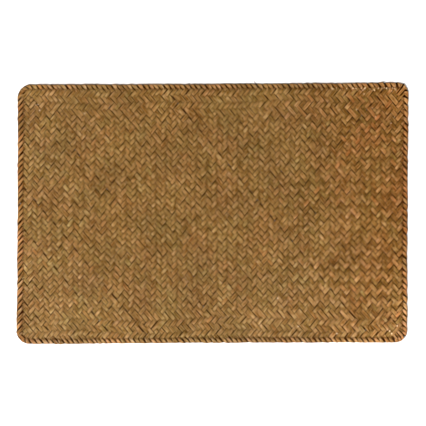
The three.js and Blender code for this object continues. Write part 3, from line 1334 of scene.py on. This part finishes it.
class RushSurface:
    """The node group for dried rush: its colours, lengthwise grain and splits, and shade painted in its gaps.

    A span is the two ends of the values that matter. Tone is how pale a place is, hue runs from olive at 0 to
    ruddy at 1, and the painted shade is how much shade is painted where a place lies deep in the gaps.
    """

    name = "rush_surface"
    inputs = (
        ("Tone", 0.0),
        ("Hue", USUAL_HUE),
        ("Painted_Shade", 0.0),
        ("Seed", 0.0),
        ("Across", 0.5),
        ("Along", 0.0),
        ("Grain Strength", 1.0),
        ("Groove Strength", 1.0),
        ("Tone Strength", 1.0),
        ("Edge Shade", 1.0),
        ("Paleness", 0.0),
    )
    outputs = (("Color", "NodeSocketColor"), ("Roughness", "NodeSocketFloat"), ("Height", "NodeSocketFloat"))
    palette = (
        (0.0, linear(108, 87, 42)),
        (0.3, linear(112, 85, 42)),
        (0.55, linear(115, 84, 42)),
        (0.8, linear(118, 82, 40)),
        (1.0, linear(123, 79, 36)),
    )
    gap_shade_colour = linear(44, 15, 0)
    edge_shade_colour = linear(26, 8, 0)
    painted_highlight_colour = linear(164, 130, 82)
    crease_shade_colour = linear(66, 28, 0)
    pith_colour = linear(250, 230, 190)

    strand_gap = 91.0
    grain_across = 4.5
    grain_along = 190.0
    grain_light = 3.3
    grain_span = (0.2, 0.8)
    mottle_across = 2.4
    mottle_along = 120.0
    mottle_gap = 37.0
    mottle_span = (0.25, 0.75)
    mottle_hue = (-0.12, 0.12)
    mottle_light = (0.72, 1.28)
    tone_light = 0.2
    fading = (0.84, 1.12, 1.9)
    painted_highlight_span = (0.12, 0.28)
    painted_highlight_share = 0.25
    edge_span = (0.325, 0.39)
    shade_share = 0.95
    roughness = (0.62, 0.5)
    shade_roughness = 0.25

    creases = (Crease(5.0, 0.36, 0.3), Crease(19.0, 0.62, 0.34))
    crease_along = 38.0
    crease_drift_span = (0.2, 0.8)
    crease_width = (0.035, 0.1)
    crease_depth = -0.8
    crease_patch_gap = 3.0
    crease_patch_along = 60.0
    crease_patch_span = (0.45, 0.6)
    crease_darkness = 0.85

    def stretched(
        self, sheet: NodeSheet, given: bpy.types.bpy_prop_collection, across: float, along: float
    ) -> tuple[bpy.types.NodeSocket, bpy.types.NodeSocket]:
        """A strand's own lengthwise place in the noise.

        Args:
            sheet: the tree's sheet.
            given: the group's inputs.
            across: how fine the noise is across the strand.
            along: how fine it is for each metre along it.

        Returns:
            The first two parts of the place.
        """
        return sheet.math("MULTIPLY", given["Across"], across), sheet.math("MULTIPLY", given["Along"], along)

    def build(self) -> bpy.types.NodeTree:
        """Makes the group.

        Returns:
            The group's tree, with the outputs Color, Roughness and Height.
        """
        tree = bpy.data.node_groups.new(self.name, "ShaderNodeTree")
        for label, value in self.inputs:
            socket = tree.interface.new_socket(label, in_out="INPUT", socket_type="NodeSocketFloat")
            socket.default_value = value
        for label, kind in self.outputs:
            tree.interface.new_socket(label, in_out="OUTPUT", socket_type=kind)
        sheet = NodeSheet(tree)
        given = sheet.add("NodeGroupInput").outputs
        out = sheet.add("NodeGroupOutput").inputs

        apart = sheet.math("MULTIPLY", given["Seed"], self.strand_gap)
        grain_at = self.stretched(sheet, given, self.grain_across, self.grain_along)
        grain = sheet.noise(sheet.vector(*grain_at, apart), 1.0, 3.0, 0.6)
        mottle_at = self.stretched(sheet, given, self.mottle_across, self.mottle_along)
        mottle = sheet.noise(sheet.vector(*mottle_at, sheet.math("ADD", apart, self.mottle_gap)), 1.0, 2.0)
        groove, groove_depth = self.grooves(sheet, given, apart)

        mottled = sheet.span(mottle, self.mottle_span, self.mottle_hue)
        hue = sheet.math("ADD", given["Hue"], mottled, clamp=True)
        ramp = sheet.add("ShaderNodeValToRGB")
        stops = ramp.color_ramp.elements
        while len(stops) < len(self.palette):
            stops.new(0.5)
        for stop, (position, colour) in zip(stops, self.palette):
            stop.position = position
            stop.color = colour
        sheet.fill(ramp.inputs[0], hue)

        tone = sheet.math("MULTIPLY", given["Tone"], given["Tone Strength"])
        light = sheet.math("MULTIPLY_ADD", tone, self.tone_light, 1.0)
        light = sheet.math("MULTIPLY", light, sheet.span(mottle, self.mottle_span, self.mottle_light))
        fine = sheet.math("SUBTRACT", grain, 0.5)
        strength = sheet.math("MULTIPLY", given["Grain Strength"], self.grain_light)
        light = sheet.math("ADD", light, sheet.math("MULTIPLY", fine, strength))
        brightness = sheet.vector(*(sheet.math("POWER", light, power) for power in self.fading))
        colour = sheet.mix(1.0, ramp.outputs[0], brightness, "MULTIPLY")
        # Painted shade in the splits along the strands, where their stems have creased.
        grooved = sheet.math("MULTIPLY", groove, given["Groove Strength"], clamp=True)
        colour = sheet.mix(grooved, colour, self.crease_shade_colour)

        from_middle = sheet.math("ABSOLUTE", sheet.math("SUBTRACT", given["Across"], 0.5))
        # A painted highlight just inside each edge of a strand, next to its painted shade.
        painted_highlight = sheet.span(from_middle, self.painted_highlight_span, (0.0, self.painted_highlight_share))
        colour = sheet.mix(painted_highlight, colour, self.painted_highlight_colour)
        # Painted shade along each strand's edges, where it meets its neighbours.
        edge = sheet.span(from_middle, self.edge_span, (0.0, 1.0))
        edge = sheet.math("MULTIPLY", edge, given["Edge Shade"], clamp=True)
        colour = sheet.mix(edge, colour, self.edge_shade_colour)
        # Painted shade: dark brown where a place lies deep in the gaps, tucked under the folds or below them.
        painted_shade = sheet.math("MULTIPLY", given["Painted_Shade"], self.shade_share, clamp=True)
        colour = sheet.mix(painted_shade, colour, self.gap_shade_colour)
        sheet.fill(out["Color"], sheet.mix(given["Paleness"], colour, self.pith_colour))

        rough = sheet.span(grain, self.grain_span, self.roughness)
        shaded_roughness = sheet.math("MULTIPLY", given["Painted_Shade"], self.shade_roughness)
        sheet.fill(out["Roughness"], sheet.math("ADD", rough, shaded_roughness, clamp=True))
        sheet.fill(out["Height"], sheet.math("MULTIPLY_ADD", grain, given["Grain Strength"], groove_depth))
        return tree

    def grooves(
        self, sheet: NodeSheet, given: bpy.types.bpy_prop_collection, apart: bpy.types.NodeSocket
    ) -> tuple[bpy.types.NodeSocket, bpy.types.NodeSocket]:
        """One or two fine splits along a strand, where its stem has creased.

        Args:
            sheet: the tree's sheet.
            given: the group's inputs.
            apart: the strand's own place in the noise.

        Returns:
            How much shade is painted in the splits, and how deep they are.
        """
        depths = []
        for crease in self.creases:
            far = sheet.math("MULTIPLY", given["Along"], self.crease_along)
            drift = sheet.noise(sheet.vector(crease.offset, far, apart), 1.0, 1.0)
            ends = (crease.middle - crease.spread / 2, crease.middle + crease.spread / 2)
            centre = sheet.span(drift, self.crease_drift_span, ends)
            off = sheet.math("ABSOLUTE", sheet.math("SUBTRACT", given["Across"], centre))
            line = sheet.span(off, self.crease_width, (1.0, 0.0))
            far = sheet.math("MULTIPLY", given["Along"], self.crease_patch_along)
            there = sheet.noise(sheet.vector(crease.offset + self.crease_patch_gap, far, apart), 1.0, 1.0)
            patch = sheet.span(there, self.crease_patch_span, (0.0, self.crease_darkness))
            depths.append(sheet.math("MULTIPLY", line, patch))
        groove = sheet.math("MAXIMUM", *depths)
        return groove, sheet.math("MULTIPLY", groove, self.crease_depth)


class SunAndStain:
    """The node group for what changes over the whole mat.

    It is paler towards the left, the front and the front right corner, redder on the right, and blotched all
    over. The spans are in metres along or across the mat.
    """

    name = "sun_and_stain"
    left_span = (-0.23, -0.1)
    left_share = 0.75
    front_span = (-0.15, 0.02)
    front_share = 0.8
    pale_share = 0.6
    pale_tint = (1.25, 1.34, 1.6, 1.0)
    right_span = (0.08, 0.21)
    right_tint = (1.1, 0.965, 0.87, 1.0)
    corner_span_x = (0.12, 0.2)
    corner_span_y = (-0.13, -0.06)
    corner_tint = (1.2, 1.26, 1.34, 1.0)
    blotch_scale = 22.0
    blotch_span = (0.3, 0.7)
    blotch_light = (0.89, 1.11)
    ruddy_scale = 30.0
    ruddy_gap = 0.7
    ruddy_span = (0.35, 0.65)
    olive_tint = (0.975, 1.012, 0.98, 1.0)
    ruddy_tint = (1.025, 0.988, 1.02, 1.0)

    def build(self) -> bpy.types.NodeTree:
        """Makes the group.

        Returns:
            The group's tree, which takes a Color in and puts a Color out.
        """
        tree = bpy.data.node_groups.new(self.name, "ShaderNodeTree")
        for way in ("INPUT", "OUTPUT"):
            tree.interface.new_socket("Color", in_out=way, socket_type="NodeSocketColor")
        sheet = NodeSheet(tree)
        given = sheet.add("NodeGroupInput").outputs["Color"]
        out = sheet.add("NodeGroupOutput").inputs["Color"]
        place = sheet.add("ShaderNodeTexCoord").outputs["Object"]
        split = sheet.add("ShaderNodeSeparateXYZ")
        sheet.fill(split.inputs[0], place)
        x = split.outputs["X"]
        y = split.outputs["Y"]

        left = sheet.span(x, self.left_span, (self.left_share, 0.0))
        front = sheet.span(y, self.front_span, (self.front_share, 0.0))
        pale = sheet.math("MULTIPLY", sheet.math("ADD", left, front), self.pale_share, clamp=True)
        colour = sheet.tint(pale, given, self.pale_tint)
        colour = sheet.tint(sheet.span(x, self.right_span, (0.0, 1.0)), colour, self.right_tint)
        corner = sheet.math(
            "MULTIPLY",
            sheet.span(x, self.corner_span_x, (0.0, 1.0)),
            sheet.span(y, self.corner_span_y, (1.0, 0.0)),
        )
        colour = sheet.tint(corner, colour, self.corner_tint)
        blotch = sheet.noise(place, self.blotch_scale, 2.0)
        shade = sheet.span(blotch, self.blotch_span, self.blotch_light)
        colour = sheet.mix(1.0, colour, sheet.vector(shade, shade, shade), "MULTIPLY")
        ruddy = sheet.noise(sheet.vector(y, x, self.ruddy_gap), self.ruddy_scale, 2.0)
        ruddy = sheet.span(ruddy, self.ruddy_span, (0.0, 1.0))
        stained = sheet.mix(ruddy, self.olive_tint, self.ruddy_tint)
        sheet.fill(out, sheet.mix(1.0, colour, stained, "MULTIPLY"))
        return tree


@dataclass(frozen=True)
class RushFinish:
    """One finish of dried rush, with its own values for the shared surface."""

    name: str
    grain: float = 1.0
    groove: float = 0.8
    tone: float = 1.0
    # How much shade is painted along the edges of the strands.
    edge: float = 1.0
    pale: float = 0.0
    bump: float = 0.35
    bump_distance: float = 0.12 * MM
    shine: float = 0.0

    def build(self, surface: bpy.types.NodeTree, stain: bpy.types.NodeTree) -> bpy.types.Material:
        """Makes the material.

        Args:
            surface: the rush surface group.
            stain: the group for what changes over the whole mat.

        Returns:
            The material.
        """
        material = bpy.data.materials.new(self.name)
        material.use_nodes = True
        tree = material.node_tree
        sheet = NodeSheet(tree)
        shader = tree.nodes["Principled BSDF"]
        group = sheet.add("ShaderNodeGroup", node_tree=surface)
        for label in ("Tone", "Hue", "Painted_Shade", "Seed"):
            source = sheet.add("ShaderNodeAttribute", attribute_name=label.lower())
            tree.links.new(source.outputs["Fac"], group.inputs[label])
        wrap = sheet.add("ShaderNodeSeparateXYZ")
        sheet.fill(wrap.inputs[0], sheet.add("ShaderNodeTexCoord").outputs["UV"])
        tree.links.new(wrap.outputs["X"], group.inputs["Across"])
        tree.links.new(wrap.outputs["Y"], group.inputs["Along"])
        settings = {
            "Grain Strength": self.grain,
            "Groove Strength": self.groove,
            "Tone Strength": self.tone,
            "Edge Shade": self.edge,
            "Paleness": self.pale,
        }
        for label, value in settings.items():
            sheet.fill(group.inputs[label], value)
        over_all = sheet.add("ShaderNodeGroup", node_tree=stain)
        tree.links.new(group.outputs["Color"], over_all.inputs["Color"])
        tree.links.new(over_all.outputs["Color"], shader.inputs["Base Color"])
        tree.links.new(group.outputs["Roughness"], shader.inputs["Roughness"])
        bump = sheet.add("ShaderNodeBump")
        bump.inputs["Strength"].default_value = self.bump
        bump.inputs["Distance"].default_value = self.bump_distance
        tree.links.new(group.outputs["Height"], bump.inputs["Height"])
        tree.links.new(bump.outputs["Normal"], shader.inputs["Normal"])
        shader.inputs["Specular IOR Level"].default_value = self.shine
        return material


@dataclass
class Studio:
    """A plain pale floor, a soft key light from the front left, an even fill and the camera above."""

    view_width: float = 490.4 * MM
    view_height: float = 1.8
    view_x: float = 0.7 * MM
    view_y: float = 0.3 * MM
    key_energy: float = 444.0
    key_size: float = 1.6
    key_place: tuple[float, float, float] = (-2.2, -2.7, 3.8)
    fill_strength: float = 0.66
    fill_colour: tuple[float, float, float, float] = (1.0, 0.985, 0.96, 1.0)
    film_width: float = 36.0
    floor_size: float = 6.0
    floor_drop: float = 0.02 * MM
    floor_colour: tuple[float, float, float, float] = (0.92, 0.92, 0.915, 1.0)
    floor_roughness: float = 0.8
    floor_shine: float = 0.2

    def build(self) -> None:
        """Makes the camera, the floor and the lights."""
        scene = bpy.context.scene
        scene.view_settings.view_transform = "Standard"
        lens = bpy.data.cameras.new("camera")
        lens.sensor_width = self.film_width
        lens.lens = lens.sensor_width * self.view_height / self.view_width
        camera = bpy.data.objects.new("camera", lens)
        camera.location = (self.view_x, self.view_y, self.view_height)
        scene.collection.objects.link(camera)
        scene.camera = camera

        light = bpy.data.lights.new("key_light", "AREA")
        light.energy = self.key_energy
        light.size = self.key_size
        key = bpy.data.objects.new("key_light", light)
        key.location = self.key_place
        key.rotation_mode = "QUATERNION"
        key.rotation_quaternion = (-Vector(self.key_place)).to_track_quat("-Z", "Y")
        scene.collection.objects.link(key)

        world = bpy.data.worlds.new("even_fill")
        world.use_nodes = True
        background = world.node_tree.nodes["Background"]
        background.inputs["Color"].default_value = self.fill_colour
        background.inputs["Strength"].default_value = self.fill_strength
        scene.world = world
        self.build_floor()

    def build_floor(self) -> None:
        """A wide flat floor just under the mat, which isn't part of it."""
        mesh = bpy.data.meshes.new("floor")
        shape = bmesh.new()
        bmesh.ops.create_grid(shape, x_segments=1, y_segments=1, size=self.floor_size)
        bmesh.ops.translate(shape, vec=(0, 0, -self.floor_drop), verts=shape.verts)
        shape.to_mesh(mesh)
        shape.free()
        floor = bpy.data.objects.new("floor", mesh)
        material = bpy.data.materials.new("pale_floor")
        material.use_nodes = True
        shader = material.node_tree.nodes["Principled BSDF"]
        shader.inputs["Base Color"].default_value = self.floor_colour
        shader.inputs["Roughness"].default_value = self.floor_roughness
        shader.inputs["Specular IOR Level"].default_value = self.floor_shine
        mesh.materials.append(material)
        bpy.context.scene.collection.objects.link(floor)


def finish_piece(piece: bpy.types.Object, material: bpy.types.Material) -> None:
    """Dresses a piece, makes it ride on the mat's body and logs it.

    Args:
        piece: the piece.
        material: its finish.
    """
    piece.data.materials.append(material)
    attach(piece, BODY)
    piece.data.calc_loop_triangles()
    log.info("%s: %d triangles", piece.name, len(piece.data.loop_triangles))


def main() -> None:
    """Builds the mat and its studio."""
    logging.basicConfig(level=logging.INFO, format="%(name)s: %(message)s")
    Studio().build()
    plait = Plait(Outline())
    surface = RushSurface().build()
    stain = SunAndStain().build()
    strand_finish = RushFinish("plaited_rush").build(surface, stain)
    edge_finish = RushFinish("folded_rush", grain=1.2, tone=1.15).build(surface, stain)
    pith_finish = RushFinish("frayed_pith", groove=0.0, edge=0.0, pale=0.92).build(surface, stain)
    # The rising strands are painted paler: painted sheen, as their floats run towards the key light.
    rising = PlaitedStrands(plait, Family.RISING, seed=11, paler=0.2).build()
    falling = PlaitedStrands(plait, Family.FALLING, seed=12).build()
    edge = FoldedEdge(plait).build()
    corners = CornerStrands(plait.outline).build()
    bits = FrayedBits(plait.outline)
    flecks = bits.build_flecks()
    ends = bits.build_loose_ends()
    dressed = (
        (rising, strand_finish),
        (falling, strand_finish),
        (edge, edge_finish),
        (corners, edge_finish),
        (flecks, pith_finish),
        (ends, edge_finish),
    )
    for piece, finish in dressed:
        finish_piece(piece, finish)
        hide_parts(NODE)


if __name__ == "__main__":
    main()
